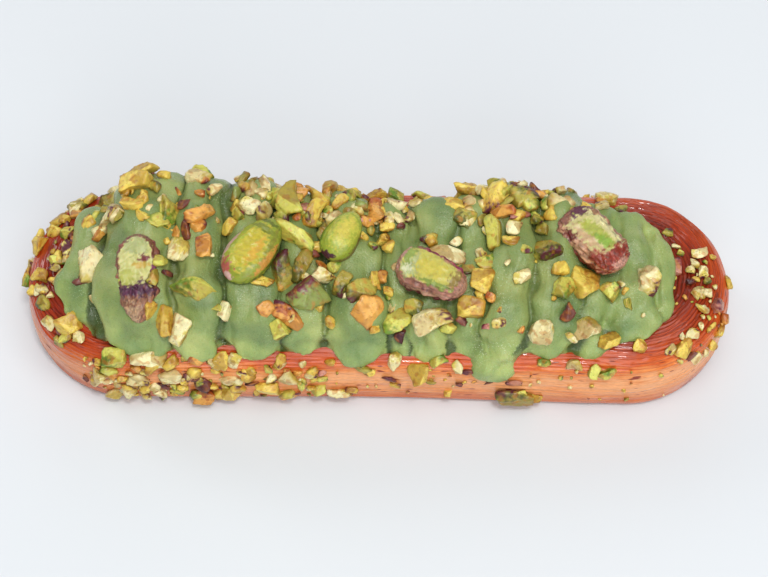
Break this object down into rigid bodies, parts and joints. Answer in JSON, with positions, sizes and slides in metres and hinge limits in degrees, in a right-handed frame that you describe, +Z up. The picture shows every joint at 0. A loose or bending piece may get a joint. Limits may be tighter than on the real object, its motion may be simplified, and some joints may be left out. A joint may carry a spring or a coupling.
{
  "type": "pistachio danish pastry",
  "caption": "Long coiled pastry with round ends, piped across its top with strokes of pistachio cream and strewn with chopped pistachios and whole kernels.",
  "frame": {"origin": "the middle of the flat underside, which is what the danish lies on", "axes": "+X along the length, +Z up out of the cream, +Y across it towards the thicker back edge of the cream"},
  "size_m": [0.1508, 0.0488, 0.0373],
  "materials": {
    "crust": "baked crust with a thin sugar glaze, semi-gloss",
    "cream": "thick piped nut cream, satin with a fine grain",
    "nut": "pistachio, matte, with patches of dark red skin"
  },
  "bodies": {
    "root": {"pastry": "crust", "cream": "cream", "kernel_1": "nut", "kernel_2": "nut", "kernel_3": "nut", "kernel_4": "nut", "kernel_5": "nut"}
  },
  "joints": []
}
